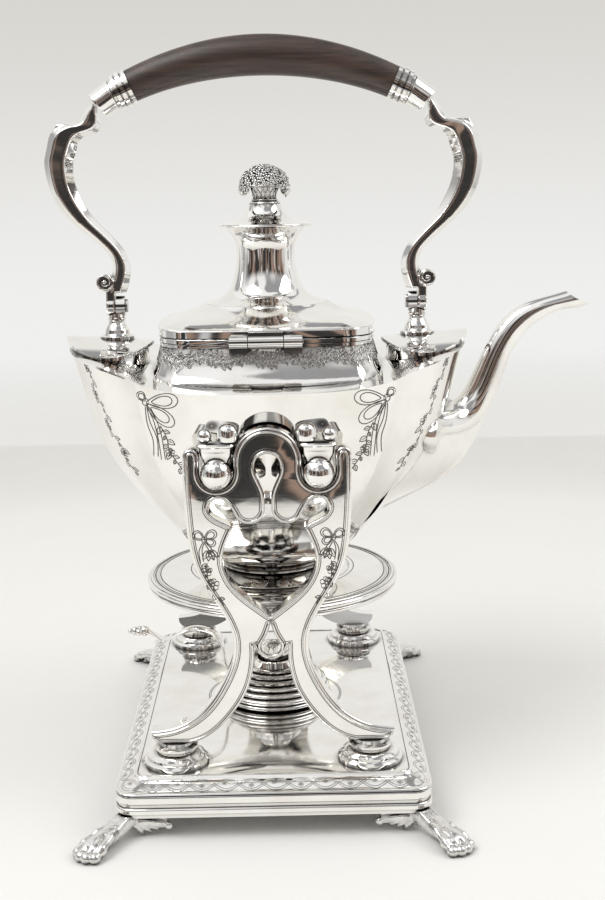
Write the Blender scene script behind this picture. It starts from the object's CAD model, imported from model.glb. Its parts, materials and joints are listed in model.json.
"""Looks of a hanging silver kettle on its two-frame stand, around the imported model.

Metres, +Z up, spout toward +X, viewer at -Y, floor at Z = 0.
"""
import json
from math import atan2, cos, degrees, hypot, pi, radians, sin

import bpy
from mathutils import Matrix, Vector
from mathutils.bvhtree import BVHTree


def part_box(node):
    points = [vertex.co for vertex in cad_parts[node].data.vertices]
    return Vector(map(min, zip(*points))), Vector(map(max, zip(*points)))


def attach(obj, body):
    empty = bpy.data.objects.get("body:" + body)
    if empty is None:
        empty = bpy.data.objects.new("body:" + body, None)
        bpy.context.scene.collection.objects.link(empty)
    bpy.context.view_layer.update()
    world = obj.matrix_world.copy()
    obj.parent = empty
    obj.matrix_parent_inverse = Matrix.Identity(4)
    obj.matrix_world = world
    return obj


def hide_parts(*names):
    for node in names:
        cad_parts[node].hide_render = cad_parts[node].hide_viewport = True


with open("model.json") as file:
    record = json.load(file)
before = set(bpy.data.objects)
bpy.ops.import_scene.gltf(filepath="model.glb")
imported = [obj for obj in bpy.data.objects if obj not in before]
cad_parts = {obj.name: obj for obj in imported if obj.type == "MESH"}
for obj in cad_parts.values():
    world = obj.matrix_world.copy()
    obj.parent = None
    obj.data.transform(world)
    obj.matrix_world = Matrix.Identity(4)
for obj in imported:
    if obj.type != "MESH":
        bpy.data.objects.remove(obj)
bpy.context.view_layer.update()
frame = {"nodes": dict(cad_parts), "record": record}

MM = 0.001
AXIS_X = -24.2 * MM          # kettle axis
FRAME_FACE = 84.1            # outer face of either stand frame from the axis
BASE_HALF_X = 71.2
BASE_HALF_Y = 106.0
BASE_CORNER = 9.0
PAW_ROOT_X = 62.0
PAW_ROOT_Y = 97.0
PAW_TURN = 54.0              # degrees from X
VOLUTE_X = 77.9
VOLUTE_Z = 238.8
PIN_X = 22.4                 # pins that carry the kettle
PIN_Z = 160.8
CUP_Y = 80.5                 # middle of the cups on the pins
GOLDEN_TURN = 2.39996        # radians between one flower and the next

# ---- camera, fitted to the photograph ------------------------------------
FRAME_TALL = 900             # picture height in pixels
FOCAL_PIXELS = 1352.8
SENSOR = 36.0
CAMERA_AT = Vector((AXIS_X + 10.8 * MM, -660.1 * MM, 289.5 * MM))
CAMERA_PITCH = radians(11.63)
CAMERA_YAW = radians(0.47)
CAMERA_ROLL = radians(0.95)


def make_camera():
    data = bpy.data.cameras.new("camera")
    data.sensor_width = SENSOR
    data.lens = SENSOR * FOCAL_PIXELS / FRAME_TALL
    data.clip_start = 0.01
    data.clip_end = 20.0
    level_right = Vector((cos(CAMERA_YAW), -sin(CAMERA_YAW), 0))
    ahead = Vector((sin(CAMERA_YAW) * cos(CAMERA_PITCH), cos(CAMERA_YAW) * cos(CAMERA_PITCH),
                    -sin(CAMERA_PITCH)))
    level_up = level_right.cross(ahead)
    right = cos(CAMERA_ROLL) * level_right - sin(CAMERA_ROLL) * level_up
    up = sin(CAMERA_ROLL) * level_right + cos(CAMERA_ROLL) * level_up
    camera = bpy.data.objects.new("camera", data)
    camera.matrix_world = Matrix((
        (right.x, up.x, -ahead.x, CAMERA_AT.x),
        (right.y, up.y, -ahead.y, CAMERA_AT.y),
        (right.z, up.z, -ahead.z, CAMERA_AT.z),
        (0, 0, 0, 1),
    ))
    bpy.context.scene.collection.objects.link(camera)
    bpy.context.scene.camera = camera


# ---- node helpers ---------------------------------------------------------
class Shader:
    """A node tree with short calls for the nodes that the materials here share."""

    def __init__(self, name):
        self.material = bpy.data.materials.new(name)
        self.material.use_nodes = True
        self.tree = self.material.node_tree
        self.tree.nodes.clear()
        self.out = self.tree.nodes.new("ShaderNodeOutputMaterial")
        self.body = self.tree.nodes.new("ShaderNodeBsdfPrincipled")
        self.join(self.body.outputs[0], self.out.inputs["Surface"])
        self.place = self.tree.nodes.new("ShaderNodeTexCoord").outputs["Object"]

    def join(self, source, target):
        self.tree.links.new(source, target)

    def set(self, **values):
        for name, value in values.items():
            self.body.inputs[name.replace("_", " ")].default_value = value

    def stretched(self, scale):
        mapping = self.tree.nodes.new("ShaderNodeMapping")
        mapping.inputs["Scale"].default_value = scale
        self.join(self.place, mapping.inputs["Vector"])
        return mapping.outputs[0]

    def noise(self, scale, detail=3.0, rough=0.55, vector=None):
        node = self.tree.nodes.new("ShaderNodeTexNoise")
        node.inputs["Scale"].default_value = scale
        node.inputs["Detail"].default_value = detail
        node.inputs["Roughness"].default_value = rough
        self.join(vector or self.place, node.inputs["Vector"])
        return node.outputs["Fac"]

    def ramp(self, value, low, high, start=0.0, end=1.0):
        node = self.tree.nodes.new("ShaderNodeMapRange")
        node.inputs["From Min"].default_value = low
        node.inputs["From Max"].default_value = high
        node.inputs["To Min"].default_value = start
        node.inputs["To Max"].default_value = end
        self.join(value, node.inputs["Value"])
        return node.outputs["Result"]

    def blend(self, value, first, second):
        node = self.tree.nodes.new("ShaderNodeMix")
        node.data_type = "RGBA"
        self.join(value, node.inputs["Factor"])
        for socket, colour in ((node.inputs["A"], first), (node.inputs["B"], second)):
            if isinstance(colour, tuple):
                socket.default_value = (*colour, 1.0)
            else:
                self.join(colour, socket)
        return node.outputs["Result"]

    def math(self, kind, first, second):
        node = self.tree.nodes.new("ShaderNodeMath")
        node.operation = kind
        for socket, value in ((node.inputs[0], first), (node.inputs[1], second)):
            if isinstance(value, (int, float)):
                socket.default_value = value
            else:
                self.join(value, socket)
        return node.outputs[0]

    def bump(self, height, strength, distance):
        node = self.tree.nodes.new("ShaderNodeBump")
        node.inputs["Strength"].default_value = strength
        node.inputs["Distance"].default_value = distance
        self.join(height, node.inputs["Height"])
        self.join(node.outputs[0], self.body.inputs["Normal"])

    def colour(self, socket):
        self.join(socket, self.body.inputs["Base Color"])

    def rough(self, socket):
        self.join(socket, self.body.inputs["Roughness"])


def silver(name, bright, dull, rough_low, rough_high, wave):
    """Polished silver: faint warm tarnish clouds, fine wiping marks and hand-raised waviness."""
    shader = Shader(name)
    shader.set(Metallic=1.0)
    clouds = shader.ramp(shader.noise(38.0, 4.0), 0.42, 0.72)
    closed_in = shader.tree.nodes.new("ShaderNodeAmbientOcclusion")
    closed_in.inputs["Distance"].default_value = 0.0028
    closed_in.samples = 6
    seams = shader.ramp(closed_in.outputs["AO"], 0.45, 0.92)
    shader.colour(shader.blend(seams, (0.16, 0.15, 0.14), shader.blend(clouds, bright, dull)))
    wiping = shader.noise(60.0, 5.0, 0.7, shader.stretched((1.0, 1.0, 14.0)))
    shader.rough(shader.ramp(wiping, 0.35, 0.75, rough_low, rough_high))
    if wave:
        shader.bump(shader.noise(22.0, 1.0), wave, 0.002)
    return shader.material


def chased(name, bright, dark):
    """Cast and chased silver: bright on its high spots, oxidised where it is closed in."""
    shader = Shader(name)
    shader.set(Metallic=1.0)
    hollow = shader.tree.nodes.new("ShaderNodeAmbientOcclusion")
    hollow.inputs["Distance"].default_value = 0.004
    hollow.samples = 8
    open_air = shader.ramp(hollow.outputs["AO"], 0.35, 0.95)
    grime = shader.noise(420.0, 4.0)
    shader.colour(shader.blend(shader.math("MULTIPLY", open_air, shader.ramp(grime, 0.2, 0.55, 0.7, 1.0)),
                               dark, bright))
    shader.rough(shader.ramp(grime, 0.3, 0.7, 0.14, 0.34))
    shader.bump(grime, 0.25, 0.0003)
    return shader.material


def wood(name):
    """Dark oiled hardwood with its grain along X."""
    shader = Shader(name)
    grain = shader.stretched((6.0, 90.0, 130.0))
    long_streak = shader.noise(4.0, 6.0, 0.62, grain)
    pores = shader.noise(9.0, 8.0, 0.75, shader.stretched((18.0, 260.0, 300.0)))
    base = shader.blend(shader.ramp(long_streak, 0.36, 0.68), (0.024, 0.016, 0.012), (0.074, 0.042, 0.030))
    shader.colour(shader.blend(shader.ramp(pores, 0.55, 0.75), base, (0.010, 0.007, 0.006)))
    shader.rough(shader.ramp(pores, 0.3, 0.8, 0.34, 0.52))
    shader.bump(pores, 0.35, 0.0003)
    shader.set(Coat_Weight=0.15, Coat_Roughness=0.25)
    return shader.material


def cotton(name):
    shader = Shader(name)
    weave = shader.noise(900.0, 3.0, 0.6, shader.stretched((1.0, 1.0, 0.35)))
    shader.colour(shader.blend(weave, (0.52, 0.47, 0.37), (0.86, 0.82, 0.72)))
    shader.set(Roughness=0.92)
    shader.bump(weave, 0.6, 0.0006)
    return shader.material


def etched(name, colour):
    """Cut lines: dull, darkened silver."""
    shader = Shader(name)
    shader.set(Metallic=1.0)
    grime = shader.noise(700.0, 3.0)
    shader.colour(shader.blend(grime, colour, tuple(0.55 * c for c in colour)))
    shader.rough(shader.ramp(grime, 0.3, 0.7, 0.32, 0.5))
    return shader.material


# ---- surroundings ---------------------------------------------------------
def make_world():
    """Pale surroundings; metal sees pale walls, a dim room behind the viewer and a soft overhead panel."""
    world = bpy.data.worlds.new("studio")
    bpy.context.scene.world = world
    world.use_nodes = True
    tree = world.node_tree
    tree.nodes.clear()
    out = tree.nodes.new("ShaderNodeOutputWorld")
    background = tree.nodes.new("ShaderNodeBackground")
    tree.links.new(background.outputs[0], out.inputs["Surface"])
    path = tree.nodes.new("ShaderNodeLightPath")
    place = tree.nodes.new("ShaderNodeTexCoord")
    split = tree.nodes.new("ShaderNodeSeparateXYZ")
    tree.links.new(place.outputs["Generated"], split.inputs[0])

    def ramp(value, low, high, start=0.0, end=1.0):
        node = tree.nodes.new("ShaderNodeMapRange")
        node.interpolation_type = "SMOOTHSTEP"
        for key, number in (("From Min", low), ("From Max", high), ("To Min", start), ("To Max", end)):
            node.inputs[key].default_value = number
        tree.links.new(value, node.inputs["Value"])
        return node.outputs["Result"]

    def times(first, second):
        node = tree.nodes.new("ShaderNodeMath")
        node.operation = "MULTIPLY"
        tree.links.new(first, node.inputs[0])
        tree.links.new(second, node.inputs[1])
        return node.outputs[0]

    def mix(value, first, second):
        node = tree.nodes.new("ShaderNodeMix")
        node.data_type = "RGBA"
        tree.links.new(value, node.inputs["Factor"])
        for socket, colour in ((node.inputs["A"], first), (node.inputs["B"], second)):
            if isinstance(colour, tuple):
                socket.default_value = (*colour, 1.0)
            else:
                tree.links.new(colour, socket)
        return node.outputs["Result"]

    def streaks(scale, low, high):
        mapping = tree.nodes.new("ShaderNodeMapping")
        mapping.inputs["Scale"].default_value = scale
        tree.links.new(place.outputs["Generated"], mapping.inputs["Vector"])
        noise = tree.nodes.new("ShaderNodeTexNoise")
        noise.inputs["Scale"].default_value = 1.0
        noise.inputs["Detail"].default_value = 1.0
        tree.links.new(mapping.outputs[0], noise.inputs["Vector"])
        return ramp(noise.outputs["Fac"], low, high)

    x, y, z = split.outputs
    walls = mix(streaks((2.2, 2.2, 0.5), 0.44, 0.56), (0.86, 0.86, 0.85), (0.42, 0.42, 0.42))
    above = mix(streaks((1.6, 1.6, 0.8), 0.46, 0.54), (0.95, 0.95, 0.95), (0.34, 0.34, 0.35))
    tent = mix(ramp(z, 0.30, 0.62), walls, above)
    tent = mix(times(ramp(y, 0.52, 0.62), ramp(z, 0.80, 0.70)), tent, (0.88, 0.87, 0.84))
    front = times(ramp(y, -0.10, -0.42), ramp(z, 0.46, 0.26))
    room = mix(streaks((6.5, 2.0, 0.35), 0.50, 0.60), (0.040, 0.038, 0.037), (0.34, 0.24, 0.19))
    room = mix(streaks((9.0, 3.0, 1.2), 0.60, 0.66), room, (0.62, 0.62, 0.64))
    reflected = mix(front, tent, room)
    plain = mix(ramp(z, -0.12, 0.16), (0.87, 0.87, 0.86), (0.68, 0.66, 0.62))
    tree.links.new(mix(path.outputs["Is Glossy Ray"], plain, reflected), background.inputs["Color"])
    background.inputs["Strength"].default_value = 1.0


TABLE_NEAR = -0.69           # front edge of the white table that the metal sees
TABLE_BACK = 0.80
TABLE_SIDE = 0.85
FLOOR_FAR = 3.0


def make_floor():
    """White table with a soft edge that fades into the surroundings."""
    shader = Shader("table_white")
    shader.set(Roughness=0.75)
    mottling = shader.noise(9.0, 3.0)
    shader.colour(shader.blend(mottling, (0.86, 0.86, 0.85), (0.90, 0.90, 0.89)))
    tree = shader.tree
    clear = tree.nodes.new("ShaderNodeBsdfTransparent")
    mixed = tree.nodes.new("ShaderNodeMixShader")
    distance = tree.nodes.new("ShaderNodeVectorMath")
    distance.operation = "LENGTH"
    shader.join(shader.place, distance.inputs[0])
    fade = shader.ramp(distance.outputs["Value"], 0.55, 1.6)
    shader.join(fade, mixed.inputs["Fac"])
    shader.join(shader.body.outputs[0], mixed.inputs[1])
    shader.join(clear.outputs[0], mixed.inputs[2])
    shader.join(mixed.outputs[0], shader.out.inputs["Surface"])
    for name, corners, low, seen_by_metal in (
        ("table", ((-TABLE_SIDE, TABLE_NEAR), (TABLE_SIDE, TABLE_BACK)), -0.0002, True),
        ("table_far", ((-FLOOR_FAR, -FLOOR_FAR), (FLOOR_FAR, FLOOR_FAR)), -0.0006, False),
    ):
        (x0, y0), (x1, y1) = corners
        mesh = bpy.data.meshes.new(name)
        mesh.from_pydata([(x0, y0, low), (x1, y0, low), (x1, y1, low), (x0, y1, low)], [], [(0, 1, 2, 3)])
        mesh.materials.append(shader.material)
        table = bpy.data.objects.new(name, mesh)
        bpy.context.scene.collection.objects.link(table)
        table.visible_glossy = seen_by_metal


def make_lights():
    for name, at, size, watts in (
        ("key", (-0.7, -0.5, 1.3), 0.9, 9.0),
        ("fill", (0.9, -0.2, 1.0), 0.9, 4.0),
    ):
        data = bpy.data.lights.new(name, "AREA")
        data.shape = "DISK"
        data.size = size
        data.energy = watts
        lamp = bpy.data.objects.new(name, data)
        lamp.location = at
        lamp.rotation_euler = (Vector((0, 0, 0.15)) - Vector(at)).to_track_quat("-Z", "Y").to_euler()
        bpy.context.scene.collection.objects.link(lamp)


# ---- relief: fine lines laid on the metal -----------------------------------
def spot(x, y, z):
    """A place in millimetres from the kettle's axis, as a world point."""
    return Vector((AXIS_X + x * MM, y * MM, z * MM))


def half_axes(x, y, z):
    """Half axes of an upright ellipsoid, from millimetres."""
    return Vector((x, 0, 0)) * MM, Vector((0, y, 0)) * MM, Vector((0, 0, z)) * MM


class Skin:
    """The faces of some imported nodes, to lay ornament on."""

    def __init__(self, *names, relief=None):
        corners, faces = [], []
        if relief:
            corners, faces = list(relief.corners), list(relief.faces)
        for name in names:
            node = frame["nodes"][name]
            start = len(corners)
            corners += [node.matrix_world @ vertex.co for vertex in node.data.vertices]
            faces += [[start + i for i in face.vertices] for face in node.data.polygons]
        self.tree = BVHTree.FromPolygons(corners, faces)

    def drop(self, start, way):
        hit, normal, _, _ = self.tree.ray_cast(start, way)
        if hit is None:
            return None
        return hit, -normal if normal.dot(way) > 0 else normal


class Relief:
    """Thin ridges and small bodies gathered into one mesh."""

    def __init__(self):
        self.corners, self.faces = [], []

    def line(self, spots, half, tall, closed=False, taper=True):
        spots = [s for s in spots if s]
        count = len(spots)
        if count < 2:
            return
        start = len(self.corners)
        for i, (point, normal) in enumerate(spots):
            ahead = spots[(i + 1) % count if closed else min(i + 1, count - 1)][0]
            behind = spots[(i - 1) % count if closed else max(i - 1, 0)][0]
            side = (ahead - behind).cross(normal)
            side = side.normalized() if side.length > 1e-9 else Vector((0, 0, 0))
            thin = 0.3 if taper and not closed and i in (0, count - 1) else 1.0
            self.corners += [point + side * half * thin, point + normal * tall * thin,
                             point - side * half * thin, point - normal * tall * 0.4]
        for i in range(count if closed else count - 1):
            here, there = start + 4 * i, start + 4 * ((i + 1) % count)
            for j in range(4):
                k = (j + 1) % 4
                self.faces.append((here + j, here + k, there + k, there + j))

    def tube(self, path, radii, sides=8, closed=False):
        """Round rod along world points, with closed ends."""
        count = len(path)
        start = len(self.corners)
        lead = Vector((0.13, 0.29, 0.95)).normalized()
        for i, point in enumerate(path):
            ahead = path[(i + 1) % count if closed else min(i + 1, count - 1)]
            behind = path[(i - 1) % count if closed else max(i - 1, 0)]
            along = (ahead - behind).normalized()
            side = along.cross(lead).normalized()
            up = side.cross(along).normalized()
            lead = up
            radius = radii[i] if isinstance(radii, (list, tuple)) else radii
            for j in range(sides):
                turn = 2 * pi * j / sides
                self.corners.append(point + (side * cos(turn) + up * sin(turn)) * radius)
        for i in range(count if closed else count - 1):
            here, there = start + sides * i, start + sides * ((i + 1) % count)
            for j in range(sides):
                k = (j + 1) % sides
                self.faces.append((here + j, here + k, there + k, there + j))
        if not closed:
            self.faces.append(tuple(start + j for j in range(sides)))
            self.faces.append(tuple(start + sides * (count - 1) + j for j in reversed(range(sides))))

    def pebble(self, centre, axes, rings=5, sides=8):
        """Ellipsoid with its three half axes given as vectors."""
        a, b, c = axes
        start = len(self.corners)
        self.corners.append(centre - c)
        for i in range(1, rings):
            lift = pi * i / rings
            for j in range(sides):
                turn = 2 * pi * j / sides
                self.corners.append(centre + (a * cos(turn) + b * sin(turn)) * sin(lift) - c * cos(lift))
        self.corners.append(centre + c)
        last = len(self.corners) - 1
        for j in range(sides):
            k = (j + 1) % sides
            self.faces.append((start, start + 1 + k, start + 1 + j))
            for i in range(rings - 2):
                low, high = start + 1 + sides * i, start + 1 + sides * (i + 1)
                self.faces.append((low + j, low + k, high + k, high + j))
            top = start + 1 + sides * (rings - 2)
            self.faces.append((top + j, top + k, last))

    def make(self, name, body, slot, finish, replaced=(), smooth=True):
        mesh = bpy.data.meshes.new(name)
        mesh.from_pydata([tuple(c) for c in self.corners], [], self.faces)
        mesh.validate()
        mesh.materials.append(finish)
        if smooth:
            for face in mesh.polygons:
                face.use_smooth = True
        piece = bpy.data.objects.new(name, mesh)
        bpy.context.scene.collection.objects.link(piece)
        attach(piece, body)
        if replaced:
            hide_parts(*replaced)
        return piece


# ---- flat motifs: lists of (u, v) lines in millimetres ------------------------
def curve(points, steps=6):
    """Smooth line through the points."""
    ends = [points[0], *points, points[-1]]
    line = []
    for a, b, c, d in zip(ends, ends[1:], ends[2:], ends[3:]):
        for i in range(steps):
            t = i / steps
            line.append(tuple(
                0.5 * (2 * q + (r - p) * t + (2 * p - 5 * q + 4 * r - s) * t * t + (3 * q - p - 3 * r + s) * t ** 3)
                for p, q, r, s in zip(a, b, c, d)))
    return line + [points[-1]]


def turned(lines, angle, u, v):
    """The lines turned by an angle in degrees and moved to (u, v)."""
    c, s = cos(radians(angle)), sin(radians(angle))
    return [[(u + x * c - y * s, v + x * s + y * c) for x, y in line] for line in lines]


def leaf(u, v, angle, reach, wide):
    edge = [(reach * i / 8, wide * sin(pi * (i / 8) ** 0.8)) for i in range(9)]
    back = [(x, -y) for x, y in reversed(edge)]
    return turned([edge + back, [(0, 0), (reach * 0.4, 0), (reach * 0.75, 0)]], angle, u, v)


def blossom(u, v, radius, petals=5):
    lines = []
    for k in range(petals):
        turn = 2 * pi * k / petals + 0.3
        lines.append([(u + radius * (0.62 * cos(turn) + 0.36 * cos(2 * pi * i / 8)),
                       v + radius * (0.62 * sin(turn) + 0.36 * sin(2 * pi * i / 8))) for i in range(9)])
    lines.append([(u + radius * 0.2 * cos(2 * pi * i / 6), v + radius * 0.2 * sin(2 * pi * i / 6))
                  for i in range(7)])
    return lines


def ribbon_loop(u, v, angle, reach, wide):
    lines = []
    for size, start in ((1.0, 0.0), (0.66, 0.16)):
        lines.append([(reach * (start + size * (1 - cos(t)) / 2), wide * size * sin(t) * sin(t / 2) ** 0.8)
                      for t in [2 * pi * i / 20 for i in range(21)]])
    return turned(lines, angle, u, v)


def streamer(points, wide):
    middle = curve(points)
    lines = []
    for side in (1, -1):
        line = []
        for i, (x, y) in enumerate(middle):
            a, b = middle[max(i - 1, 0)], middle[min(i + 1, len(middle) - 1)]
            long = hypot(b[0] - a[0], b[1] - a[1]) or 1
            grow = min(1.0, 0.3 + 1.4 * i / len(middle))
            line.append((x - side * wide * grow * (b[1] - a[1]) / long,
                         y + side * wide * grow * (b[0] - a[0]) / long))
        lines.append(line)
    return lines


def garland(points, reach, wide, every=2, blooms=()):
    """Leafy stem: leaves on both sides by turns, blossoms at the named fractions."""
    stem = curve(points)
    lines = [stem]
    for i in range(1, len(stem) - 1, every):
        (ax, ay), (bx, by) = stem[i - 1], stem[i + 1]
        heading = degrees(atan2(by - ay, bx - ax))
        side = 1 if (i // every) % 2 else -1
        size = 0.8 + 0.25 * sin(i * 2.1)
        lines += leaf(*stem[i], heading + side * 48, reach * size, wide * size)
    for part, radius in blooms:
        lines += blossom(*stem[int(part * (len(stem) - 1))], radius)
    return lines


def bow_and_garland():
    """Tied ribbon with a hanging leafy spray, for the corners of the broad panels."""
    lines = ribbon_loop(-53.2, 190.6, 6, 14.5, 4.4) + ribbon_loop(-53.2, 190.0, -40, 15.5, 4.2)
    lines += ribbon_loop(-53.6, 191.2, 125, 5.0, 2.4)
    lines += [[(-53.4 + 1.5 * cos(t), 190.8 + 1.7 * sin(t)) for t in [2 * pi * i / 10 for i in range(11)]]]
    lines += streamer([(-53.4, 189), (-52.6, 181), (-50.2, 173), (-50.4, 164.5)], 1.0)
    lines += streamer([(-52.8, 189), (-49.6, 182), (-47.9, 174), (-47.0, 163.0)], 0.9)
    lines += garland([(-47.5, 180), (-44.8, 174), (-44.0, 168), (-41.0, 162.5), (-37.5, 157)], 3.9, 1.15, 2,
                     ((0.55, 2.2),))
    return lines


def frame_spray():
    """Small bow and flowers for one limb of a stand frame."""
    lines = ribbon_loop(-28.4, 131.6, 148, 5.6, 2.6) + ribbon_loop(-28.4, 131.6, 32, 6.2, 2.6)
    lines += ribbon_loop(-28.4, 131.6, -28, 5.4, 2.2)
    lines += [[(-28.4 + 1.2 * cos(t), 131.4 + 1.3 * sin(t)) for t in [2 * pi * i / 10 for i in range(11)]]]
    lines += streamer([(-28.8, 130), (-30.2, 126), (-29.6, 121)], 0.7)
    lines += streamer([(-28.2, 130), (-26.0, 127), (-23.8, 122.5)], 0.7)
    for angle in (-125, -95, -65, -35):
        lines += leaf(-26.4, 126.5, angle, 5.0, 1.2)
    lines += blossom(-27.6, 117.0, 2.5, 5) + blossom(-25.2, 110.6, 3.0, 6)
    lines += garland([(-27.5, 121), (-27.4, 114), (-25, 107.4), (-20.4, 101.6)], 3.0, 0.95, 2)
    return lines


def panel_strip():
    """Running flowers and leaves for the narrow corner panels; v is height, u is across."""
    stem = [(0, 205), (1.6, 199), (-1.6, 191), (1.6, 183), (-1.6, 175), (1.4, 167), (-1.2, 160), (0, 153)]
    return garland(stem, 3.6, 1.15, 2, ((0.06, 2.4), (0.3, 2.7), (0.55, 2.4), (0.8, 2.0)))


def lay(relief, lines, place, half, tall):
    for line in lines:
        relief.line([place(u, v) for u, v in line], half * MM, tall * MM)


# ---- ornament -----------------------------------------------------------------
def engrave_kettle(finish):
    skin = Skin("kettle_body", "spout")
    relief = Relief()
    for across in (1, -1):
        for deep in (1, -1):
            way = Vector((0, deep, 0))
            lay(relief, bow_and_garland(),
                lambda u, v: skin.drop(spot(across * u, -deep * 150, v), way), 0.26, 0.10)
            out = Vector((across * 0.78, -deep * 0.62, 0)).normalized()
            side = Vector((-out.y, out.x, 0))

            def on_corner(u, v):
                x = across * (79.9 + (v - 197.2) * 0.394)
                start = spot(x, -deep * 46, v) + side * (u * MM) + out * 0.05
                return skin.drop(start, -out)

            lay(relief, panel_strip(), on_corner, 0.24, 0.09)
    relief.make("kettle_engraving", "kettle", "silver", finish)


def chase_neck(finish):
    """Dense band of small leaves round the neck."""
    neck = Skin("kettle_neck")
    relief = Relief()
    leaves = 170
    for k in range(leaves):
        turn = 2 * pi * k / leaves
        height = 206.6 + 1.1 * sin(turn * 17)
        out = Vector((cos(turn), sin(turn), 0))
        right = Vector((-sin(turn), cos(turn), 0))

        def on_neck(u, v):
            return neck.drop(spot(0, 0, height + v) + out * 0.075 + right * (u * MM), -out)

        swing = 22 * sin(k * 1.7)
        for angle, reach in ((58, 4.2), (112, 3.4), (-52, 4.4), (-118, 3.6), (172, 2.6)):
            lay(relief, leaf(0, 0, angle + swing, reach, 1.0)[:1], on_neck, 0.3, 0.26)
    return relief.make("neck_leaves", "kettle", "chased_silver", finish)


def front_face_loops(name, deep):
    """Outlines of a stand frame's outer face, as closed lists of points."""
    mesh = frame["nodes"][name].data
    place = frame["nodes"][name].matrix_world
    edges = {}
    where = {}
    for face in mesh.polygons:
        normal = (place.to_3x3() @ face.normal).normalized()
        points = [place @ mesh.vertices[i].co for i in face.vertices]
        if normal.y * deep > -0.999 or min(-p.y * deep for p in points) < FRAME_FACE * MM - 0.0002:
            continue
        keys = []
        for p in points:
            key = (round(p.x * 1e5), round(p.z * 1e5))
            where[key] = p
            keys.append(key)
        for a, b in zip(keys, keys[1:] + keys[:1]):
            if (b, a) in edges:
                del edges[(b, a)]
            else:
                edges[(a, b)] = True
    following = {a: b for a, b in edges}
    loops = []
    while following:
        first = next(iter(following))
        key, loop = first, []
        while key in following:
            loop.append(where[key])
            key = following.pop(key)
        if len(loop) > 12:
            loops.append(loop)
    return loops


def inset(loop, out, distance):
    """The loop moved towards the metal, with its points spread evenly."""
    total = [0.0]
    count = len(loop)
    for i in range(count):
        total.append(total[-1] + (loop[(i + 1) % count] - loop[i]).length)
    steps = max(24, int(total[-1] / 0.0011))
    even = []
    j = 0
    for i in range(steps):
        goal = total[-1] * i / steps
        while total[j + 1] < goal:
            j += 1
        share = (goal - total[j]) / max(total[j + 1] - total[j], 1e-9)
        even.append(loop[j].lerp(loop[(j + 1) % count], share))
    moved = []
    for i, point in enumerate(even):
        along = even[(i + 2) % steps] - even[i - 2]
        side = out.cross(along).normalized()
        moved.append((point + side * distance, out))
    return moved


def trim_frames(finish, etched):
    for name, body, deep in (("front_frame", "stand", 1), ("rear_frame", "stand", -1)):
        out = Vector((0, -deep, 0))
        skin = Skin(name)
        beads, lines = Relief(), Relief()
        for loop in front_face_loops(name, deep):
            around = max(p.z for p in loop) - min(p.z for p in loop)
            outer = around > 0.12
            ring = [s for s in inset(loop, out, 0.00075 if outer else 0.0009)]
            beads.line(ring, 0.62 * MM if outer else 0.8 * MM, 0.42 * MM if outer else 0.6 * MM, closed=True)
            thin = [s for s in inset(loop, out, 0.0019 if outer else 0.0023)
                    if skin.drop(s[0] + out * 0.01, -out)]
            lines.line(thin, 0.2 * MM, 0.08 * MM, closed=True)
        for across in (1, -1):
            lay(lines, frame_spray(),
                lambda u, v: skin.drop(spot(across * u, -deep * 150, v), -out), 0.24, 0.09)
        beads.make(name + "_bead", body, "silver", finish)
        lines.make(name + "_engraving", body, "silver", etched)


def ledge_path(half_x, half_y, corner, steps=720):
    """Rounded rectangle as points with their outward ways, evenly spaced."""
    sides = []
    for cx, cy, first in ((1, 1, 0), (-1, 1, 90), (-1, -1, 180), (1, -1, 270)):
        for i in range(9):
            turn = radians(first + 90 * i / 8)
            out = Vector((cos(turn), sin(turn), 0))
            sides.append((Vector((cx * (half_x - corner), cy * (half_y - corner), 0)) + out * corner, out))
    lengths = [0.0]
    count = len(sides)
    for i in range(count):
        lengths.append(lengths[-1] + (sides[(i + 1) % count][0] - sides[i][0]).length)
    path = []
    j = 0
    for i in range(steps):
        goal = lengths[-1] * i / steps
        while lengths[j + 1] < goal:
            j += 1
        share = (goal - lengths[j]) / max(lengths[j + 1] - lengths[j], 1e-9)
        a, b = sides[j], sides[(j + 1) % count]
        path.append((a[0].lerp(b[0], share), a[1].lerp(b[1], share).normalized(), goal / lengths[-1]))
    return path


def make_border(finish):
    """Sloping moulded border between the plate and the rim of the base."""
    border = Relief()
    profile = ((61.3, 25.6), (62.0, 26.0), (62.6, 25.7), (62.9, 25.0), (64.4, 24.6), (66.4, 23.6),
               (68.4, 22.2), (69.6, 21.3), (70.2, 21.6), (70.9, 21.3), (71.1, 20.7))
    steps = 0
    for half, height in profile:
        inward = BASE_HALF_X - half
        ring = ledge_path(half, BASE_HALF_Y - inward, max(BASE_CORNER - inward * 0.45, 3.0), 360)
        steps = len(ring)
        border.corners += [spot(p.x, p.y, height) for p, _, _ in ring]
    for i in range(len(profile) - 1):
        for j in range(steps):
            k = (j + 1) % steps
            border.faces.append((steps * i + j, steps * (i + 1) + j, steps * (i + 1) + k, steps * i + k))
    border.make("base_border", "stand", "silver", finish)
    return border


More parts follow.
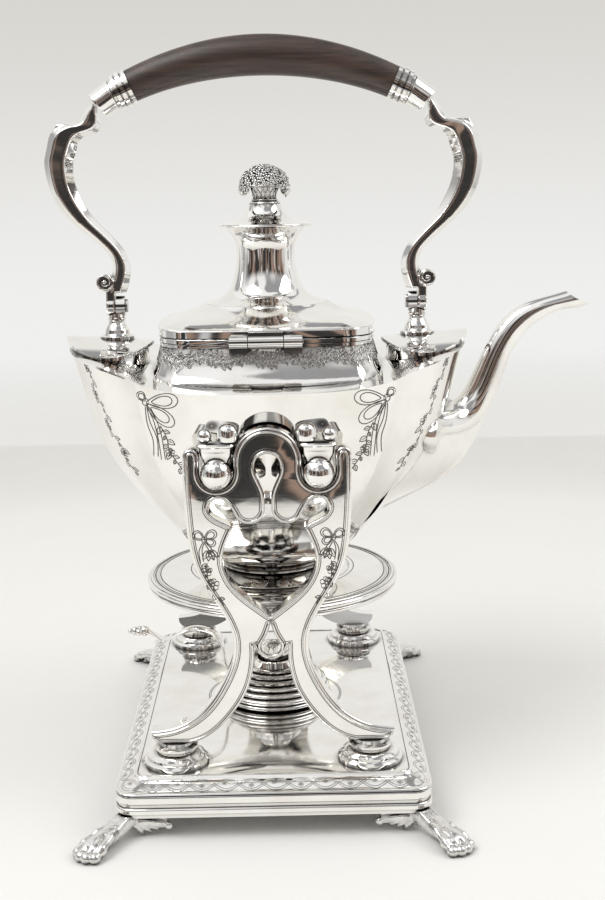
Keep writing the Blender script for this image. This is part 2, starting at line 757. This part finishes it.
def engrave_base(finish, border):
    skin = Skin("base_plate", relief=border)
    relief = Relief()
    down = Vector((0, 0, -1))
    path = ledge_path(66.4, 101.2, 6.6)
    waves = 30
    for phase in (0, pi):
        for thick in (0.45, -0.45):
            ribbon = []
            for p, out, part in path:
                sway = out * ((2.3 * sin(2 * pi * waves * part + phase) + thick) * MM)
                ribbon.append(skin.drop(spot(p.x, p.y, 60) + sway, down))
            relief.line(ribbon, 0.17 * MM, 0.08 * MM, closed=True)
    for k in range(2 * waves):
        p, out, part = path[int((k + 0.5) / (2 * waves) * len(path)) % len(path)]
        right = Vector((-out.y, out.x, 0))

        def on_ledge(u, v):
            return skin.drop(spot(p.x, p.y, 60) + (right * u + out * v) * MM, down)

        for angle in (40, 90, 140) if k % 2 else (-40, -90, -140):
            lay(relief, leaf(0, 0, angle, 1.5, 0.45), on_ledge, 0.14, 0.06)
    for radius in (33.2, 34.0):
        relief.line([skin.drop(spot(radius * cos(2 * pi * i / 120), radius * sin(2 * pi * i / 120), 60), down)
                     for i in range(120)], 0.22 * MM, 0.08 * MM, closed=True)
    return relief.make("base_engraving", "stand", "silver", finish)


# ---- bodies that stand for plainer nodes -------------------------------------
def lathe(relief, centre, profile, steps=40):
    """Turned body from (radius, height) pairs in millimetres."""
    for (r0, z0), (r1, z1) in zip(profile, profile[1:]):
        start = len(relief.corners)
        for r, z in ((r0, z0), (r1, z1)):
            for i in range(steps):
                turn = 2 * pi * i / steps
                relief.corners.append(centre + Vector((r * cos(turn), r * sin(turn), z)) * MM)
        for i in range(steps):
            j = (i + 1) % steps
            relief.faces.append((start + i, start + j, start + steps + j, start + steps + i))


def floret(relief, centre, out, size, turn):
    """Five rounded petals round an eye."""
    side = out.cross(Vector((0.31, 0.17, 0.93))).normalized()
    up = side.cross(out)
    for k in range(5):
        angle = 2 * pi * k / 5 + turn
        way = side * cos(angle) + up * sin(angle)
        across = out.cross(way)
        lean = (out - way * 0.35).normalized()
        relief.pebble(centre + way * size * 0.58 - out * size * 0.12,
                      (way * size * 0.46, across * size * 0.36, lean * size * 0.26), 4, 6)
    relief.pebble(centre + out * size * 0.12, (side * size * 0.26, up * size * 0.26, out * size * 0.24), 4, 6)


def make_basket(finish):
    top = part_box("finial")[1].z
    foot = Vector((AXIS_X, 0, top - 19.8 * MM))
    basket = Relief()
    wall = [(0, -6.0), (1.4, -6.0), (1.4, 0), (7.4, 0), (7.5, 0.5), (7.2, 1.0), (5.6, 1.5), (5.2, 2.2),
            (5.3, 3.2), (5.8, 5.4), (6.8, 8.2), (10.0, 8.4), (10.6, 9.6), (9.6, 13.2), (6.6, 16.4),
            (3.0, 18.0), (0, 18.3)]
    lathe(basket, foot, wall)
    for k in range(15):
        for hand in (1, -1):
            path = []
            for i in range(9):
                z = 2.0 + 6.2 * i / 8
                radius = 5.35 + 0.18 * max(0, z - 3.2) ** 1.25
                turn = 2 * pi * k / 15 + hand * 0.5 * i / 8
                path.append(foot + Vector((radius * cos(turn), radius * sin(turn), z)) * MM)
            basket.tube(path, 0.34 * MM, 5)
    for z, radius in ((1.9, 5.9), (8.2, 7.1)):
        ring = [foot + Vector((radius * cos(2 * pi * i / 40), radius * sin(2 * pi * i / 40), z)) * MM
                for i in range(40)]
        basket.tube(ring, 0.5 * MM, 6, closed=True)
    count = 92
    for k in range(count):
        turn = k * GOLDEN_TURN
        reach = 84 + 32 * cos(turn) ** 2
        lean = radians(reach) * ((k + 0.6) / count) ** 0.5
        out = Vector((sin(lean) * cos(turn), sin(lean) * sin(turn), 0.85 * cos(lean) + 0.1)).normalized()
        place = foot + Vector((11.9 * sin(lean) * cos(turn), 11.4 * sin(lean) * sin(turn),
                               8.6 + 9.9 * cos(lean))) * MM
        floret(basket, place, out, (1.75 + 0.35 * sin(k * 1.3)) * MM, k * 1.1)
    for across in (1, -1):
        basket.pebble(foot + Vector((across * 10.2, 0, 6.6)) * MM,
                      half_axes(2.6, 4.6, 2.9), 6, 10)
    return basket.make("finial_basket", "lid", "chased_silver", finish, ("finial",))


def make_paws(finish):
    for name, across, deep in (("foot_front_left", -1, -1), ("foot_front_right", 1, -1),
                               ("foot_rear_left", -1, 1), ("foot_rear_right", 1, 1)):
        node = frame["nodes"][name]
        paw = Relief()
        paw.corners = [node.matrix_world @ vertex.co for vertex in node.data.vertices]
        paw.faces = [tuple(face.vertices) for face in node.data.polygons]
        out = Vector((across * cos(radians(PAW_TURN)), deep * sin(radians(PAW_TURN)), 0))
        side = Vector((-out.y, out.x, 0))
        root = spot(across * PAW_ROOT_X, deep * PAW_ROOT_Y, 0)
        up = Vector((0, 0, 1))
        for spread in (-1.5, -0.5, 0.5, 1.5):
            short = 0.9 * spread * spread
            runs = ((4, 10.6, 1.5, 1.3), (10, 9.6, 1.7, 1.5), (16, 7.6, 2.0, 1.45), (21, 7.0, 2.7, 1.9),
                    (25 - short * 0.6, 5.9, 3.1, 1.5), (29.6 - short, 4.9, 3.4, 2.1),
                    (33.4 - short, 2.7, 3.5, 1.6), (36.6 - short, 0.9, 3.4, 0.5))
            path = [root + (out * run + side * (spread * fan) + up * z) * MM for run, z, fan, _ in runs]
            paw.tube(path, [radius * MM for *_, radius in runs], 10)
        edges = ((Vector((-across, 0, 0)), Vector((0, deep, 0)), spot(across * 64.5, deep * 101.8, 0)),
                 (Vector((0, -deep, 0)), Vector((across, 0, 0)), spot(across * 67.2, deep * 99.0, 0)))
        for along, face, start in edges:
            for i in range(5):
                reach = 19.5 - 3.2 * i
                path = [start + (along * (reach * t) + face * (1.2 * sin(pi * t))
                                 + up * (8.0 - 1.2 * i * t - 2.6 * t * t)) * MM
                        for t in (0, 0.2, 0.4, 0.6, 0.8, 1.0)]
                paw.tube(path, [r * MM for r in (0.9, 1.1, 1.15, 1.1, 1.0, 0.5)], 8)
            curl = start + (along * 17.5 + face * 0.6 + up * 5.0) * MM
            paw.pebble(curl, (along * 2.0 * MM, face * 1.5 * MM, up * 1.9 * MM), 6, 10)
        piece = paw.make(name + "_chased", "stand", "chased_silver", finish, (name,))
        weld = piece.modifiers.new("weld", "WELD")
        weld.merge_threshold = 0.000002
        remesh = piece.modifiers.new("remesh", "REMESH")
        remesh.mode = "VOXEL"
        remesh.voxel_size = 0.00045
        remesh.use_smooth_shade = True
        smooth = piece.modifiers.new("smooth", "SMOOTH")
        smooth.factor = 0.5
        smooth.iterations = 3


def round_off(finish):
    """Cast pieces whose edges are worn soft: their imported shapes, rounded."""
    for name, body, voxel, rounds in (("arm_left", "handle", 0.0004, 7), ("arm_right", "handle", 0.0004, 7)):
        node = frame["nodes"][name]
        cast = Relief()
        cast.corners = [node.matrix_world @ vertex.co for vertex in node.data.vertices]
        cast.faces = [tuple(face.vertices) for face in node.data.polygons]
        piece = cast.make(name + "_soft", body, "silver", finish, (name,))
        weld = piece.modifiers.new("weld", "WELD")
        weld.merge_threshold = 0.000002
        remesh = piece.modifiers.new("remesh", "REMESH")
        remesh.mode = "VOXEL"
        remesh.voxel_size = voxel
        remesh.use_smooth_shade = True
        smooth = piece.modifiers.new("smooth", "SMOOTH")
        smooth.factor = 0.5
        smooth.iterations = rounds


def make_burner(finish):
    """Reservoir of stacked rounded rings that narrow towards the wick."""
    outline = [(0, 25.9), (26.6, 25.9)]
    for radius, height, half in ((27.6, 27.4, 1.4), (27.9, 30.4, 1.5), (26.4, 33.3, 1.3), (24.2, 35.8, 1.15),
                                 (21.5, 38.0, 1.05), (18.4, 40.0, 0.95), (15.2, 41.9, 0.9)):
        for turn in (-80, -50, -22, 0, 22, 50, 80):
            outline.append((radius - 1.7 + 1.7 * cos(radians(turn)), height + half * sin(radians(turn))))
    outline += [(12.9, 43.2), (12.8, 46.3), (12.3, 46.9), (3.9, 46.95)]
    rings = Relief()
    lathe(rings, Vector((AXIS_X, 0, 0)), outline, 72)
    soften(rings.make("burner_rings", "burner", "silver", finish, ("burner_body",)))


def make_snuffer(finish):
    cap = Relief()
    lathe(cap, Vector((AXIS_X, 0, 0)),
          ((0, 48.6), (8.6, 48.5), (8.6, 49.5), (8.2, 50.0), (7.8, 50.1), (7.8, 50.9), (7.6, 51.6),
           (7.0, 52.5), (6.0, 53.3), (4.6, 54.0), (3.0, 54.5), (1.5, 54.8), (0, 54.9)), 48)
    soften(cap.make("snuffer_dome", "snuffer", "silver", finish, ("snuffer_cap",)))


def cup(relief, x, y, levels, steps=28):
    """Rounded cup of (half width, half depth, height) levels; the last one is its top."""
    start = len(relief.corners)
    for wide, deep, height in levels:
        for i in range(steps):
            turn = 2 * pi * i / steps
            across, along = cos(turn), sin(turn)
            relief.corners.append(spot(x + wide * abs(across) ** 0.55 * (1 if across > 0 else -1),
                                       y + deep * abs(along) ** 0.55 * (1 if along > 0 else -1), height))
    for level in range(len(levels) - 1):
        for i in range(steps):
            j = (i + 1) % steps
            here, there = start + steps * level, start + steps * (level + 1)
            relief.faces.append((here + i, here + j, there + j, there + i))
    relief.faces.append(tuple(start + steps * (len(levels) - 1) + i for i in range(steps)))


def make_pins(finish):
    """Ball-headed pins with their cups, and the barrel and ball knobs on top."""
    levels = ((5.0, 3.2, 160.0), (5.2, 3.6, 164.4), (5.9, 3.9, 166.9), (6.9, 4.1, 168.7), (7.2, 4.2, 170.4),
              (7.2, 4.2, 171.6), (7.5, 4.3, 172.2), (8.3, 4.6, 172.5), (8.6, 4.8, 172.9), (8.6, 4.8, 173.4),
              (8.2, 4.5, 173.85))
    barrel = ((0, 0), (3.2, 0), (3.5, 0.5), (4.4, 1.0), (4.6, 1.8), (4.65, 4.6), (4.4, 6.2), (3.7, 7.4),
              (2.5, 8.2), (1.2, 8.6), (0, 8.7))
    for lean, hold in ((1, "pivot"), (-1, "lock")):
        for deep, end in ((-1, "front"), (1, "rear")):
            pin = Relief()
            pin.tube([spot(lean * PIN_X, deep * y, PIN_Z) for y in (70.2, 76.2)], 3.5 * MM, 20)
            pin.tube([spot(lean * PIN_X, deep * y, PIN_Z) for y in (76.2, 84.5)], 6.2 * MM, 32)
            pin.pebble(spot(lean * PIN_X, deep * 84.6, PIN_Z), half_axes(6.9, 6.5, 6.9), 16, 32)
            cup(pin, lean * PIN_X, deep * CUP_Y, levels)
            body = "pivot_pins" if lean > 0 else "lock_" + end
            soften(pin.make(f"{hold}_pin_{end}_cast", body, "silver", finish, (f"{hold}_pin_{end}",)))
    for name, body, lean, sides in (("pivot_knobs", "pivot_pins", 1, (-1, 1)),
                                    ("lock_knobs_front", "lock_front", -1, (-1,)),
                                    ("lock_knobs_rear", "lock_rear", -1, (1,))):
        knobs = Relief()
        for deep in sides:
            lathe(knobs, spot(lean * 17.0, deep * CUP_Y, 173.9), barrel, 32)
            knobs.pebble(spot(lean * 27.3, deep * CUP_Y, 177.1), half_axes(3.3, 3.3, 3.3), 12, 24)
        piece = knobs.make(name + "_cast", body, "silver", finish, (name,))
        piece.visible_glossy = False     # the hollow panel behind throws their mirror images aside
        soften(piece)


def trim_foot(finish):
    """Rolled rim and turned lines of the dish under the kettle."""
    skin = Skin("kettle_foot")
    down = Vector((0, 0, -1))
    rim, cut = Relief(), Relief()
    steps = 144
    for radius, half, tall, target in ((60.6, 1.0, 0.8, rim), (57.6, 0.5, 0.4, rim),
                                       (58.9, 0.35, 0.06, cut), (56.4, 0.3, 0.06, cut),
                                       (41.0, 0.25, 0.05, cut), (38.6, 0.4, 0.3, rim)):
        turns = [2 * pi * i / steps for i in range(steps)]
        target.line([skin.drop(spot(radius * cos(turn), radius * sin(turn), 110), down) for turn in turns],
                    half * MM, tall * MM, closed=True)
    rim.make("kettle_foot_rim", "kettle", "silver", finish["silver"])
    cut.make("kettle_foot_lines", "kettle", "silver", finish["etched"])


def make_volutes(finish):
    for name, across in (("arm_left", -1), ("arm_right", 1)):
        skin = Skin(name)
        scroll = Relief()
        for deep in (1, -1):
            way = Vector((0, deep, 0))
            spiral = []
            for i in range(46):
                t = i / 45
                radius = 3.7 * (1 - t) ** 0.8 + 0.7
                turn = radians(200 + 560 * t)
                spiral.append(skin.drop(spot(across * (VOLUTE_X + radius * cos(turn)), -deep * 60,
                                             VOLUTE_Z + radius * sin(turn)), way))
            scroll.line(spiral, 0.5 * MM, 0.5 * MM)
            eye = skin.drop(spot(across * VOLUTE_X, -deep * 60, VOLUTE_Z), way)
            if eye:
                scroll.pebble(eye[0], (Vector((1.1, 0, 0)) * MM, Vector((0, 0, 1.1)) * MM,
                                       -way * 0.7 * MM), 6, 12)
        scroll.make(name + "_volute", "handle", "silver", finish)


def soften(node):
    """Smooth shading over the facets, with the real edges kept."""
    for face in node.data.polygons:
        face.use_smooth = True
    weld = node.modifiers.new("weld", "WELD")
    weld.merge_threshold = 0.000002
    crease = node.modifiers.new("crease", "EDGE_SPLIT")
    crease.split_angle = radians(31)


def dress_nodes():
    """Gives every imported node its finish, by the record's slot."""
    slots = {entry["node"]: entry["material_slot"] for entry in frame["record"]["subparts"]}
    for name, node in frame["nodes"].items():
        node.data.materials.clear()
        node.data.materials.append(finish[slots[name]])
        soften(node)


finish = {
    "silver": silver("polished_silver", (0.93, 0.92, 0.90), (0.83, 0.81, 0.77), 0.035, 0.10, 0.10),
    "chased_silver": chased("chased_silver", (0.84, 0.83, 0.81), (0.05, 0.045, 0.04)),
    "pin_metal": silver("pin_metal", (0.75, 0.74, 0.72), (0.55, 0.53, 0.50), 0.16, 0.3, 0),
    "dark_wood": wood("dark_wood"),
    "cotton": cotton("wick_cotton"),
    "etched": etched("etched_silver", (0.24, 0.23, 0.215)),
    "light_etched": etched("lightly_etched_silver", (0.42, 0.41, 0.385)),
}
make_camera()
make_world()
make_floor()
make_lights()
dress_nodes()
engrave_kettle(finish["etched"])
chase_neck(finish["chased_silver"])
trim_frames(finish["silver"], finish["etched"])
engrave_base(finish["light_etched"], make_border(finish["silver"]))
round_off(finish["silver"])
make_basket(finish["chased_silver"])
make_paws(finish["chased_silver"])
make_volutes(finish["silver"])
make_burner(finish["silver"])
make_snuffer(finish["silver"])
make_pins(finish["silver"])
trim_foot(finish)

bpy.context.scene.view_settings.view_transform = "Standard"
